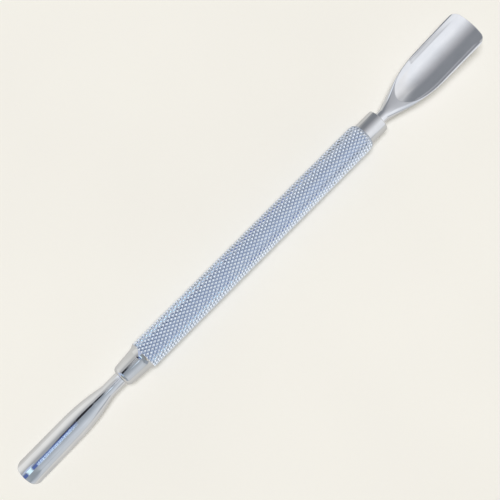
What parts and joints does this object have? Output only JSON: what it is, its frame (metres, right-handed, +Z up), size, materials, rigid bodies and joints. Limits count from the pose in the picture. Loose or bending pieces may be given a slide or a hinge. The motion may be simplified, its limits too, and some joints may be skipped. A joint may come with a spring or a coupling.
{
  "type": "cuticle pusher",
  "caption": "Double-ended cuticle pusher: knurled round handle, wide spoon pusher at one end and narrow half-tube scoop at the other.",
  "frame": {"origin": "on the table, under the middle of the tool's length and on its centre line", "axes": "+X along the handle towards the large spoon, +Y across it, +Z up, the way the large spoon opens"},
  "size_m": [0.14, 0.0096, 0.0081],
  "materials": {
    "knurled_steel": "bright diamond knurl",
    "polished_steel": "turned and polished",
    "mirror_steel": "mirror polish"
  },
  "bodies": {
    "root": {"handle": "knurled_steel", "scoop_collar": "polished_steel", "spoon_collar": "polished_steel", "large_spoon": "mirror_steel", "small_scoop": "mirror_steel"}
  },
  "joints": []
}
